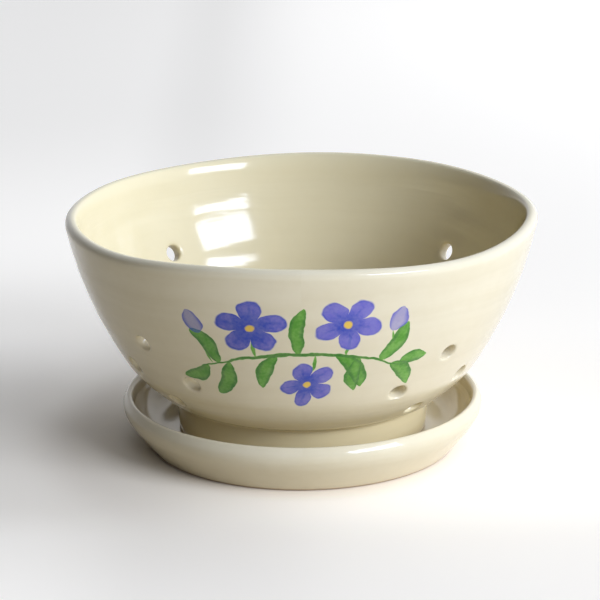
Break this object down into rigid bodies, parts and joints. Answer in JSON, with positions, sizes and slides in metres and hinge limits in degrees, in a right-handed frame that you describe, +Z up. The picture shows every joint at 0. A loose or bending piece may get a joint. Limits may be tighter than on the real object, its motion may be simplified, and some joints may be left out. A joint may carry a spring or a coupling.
{
  "type": "berry colander bowl",
  "caption": "Round ceramic colander bowl with a foot ring, rounded lip and drilled drain holes, for rinsing berries, resting on a separate shallow drip saucer.",
  "frame": {"origin": "on the table, under the middle of the saucer", "axes": "+Z up along the axis of the bowl and the saucer, -Y towards the decorated front, +X to the right"},
  "size_m": [0.18, 0.18, 0.0935],
  "materials": {
    "bowl_glaze": "gloss cream glaze with brush decoration on the front",
    "saucer_glaze": "gloss cream glaze"
  },
  "bodies": {
    "saucer": {"drip_saucer": "saucer_glaze"},
    "bowl": {"colander_bowl": "bowl_glaze"}
  },
  "joints": [
    {"name": "bowl_lift", "type": "slide", "parent": "saucer", "child": "bowl", "axis": [0, 0, 1], "range_m": [0, 0.08]}
  ]
}
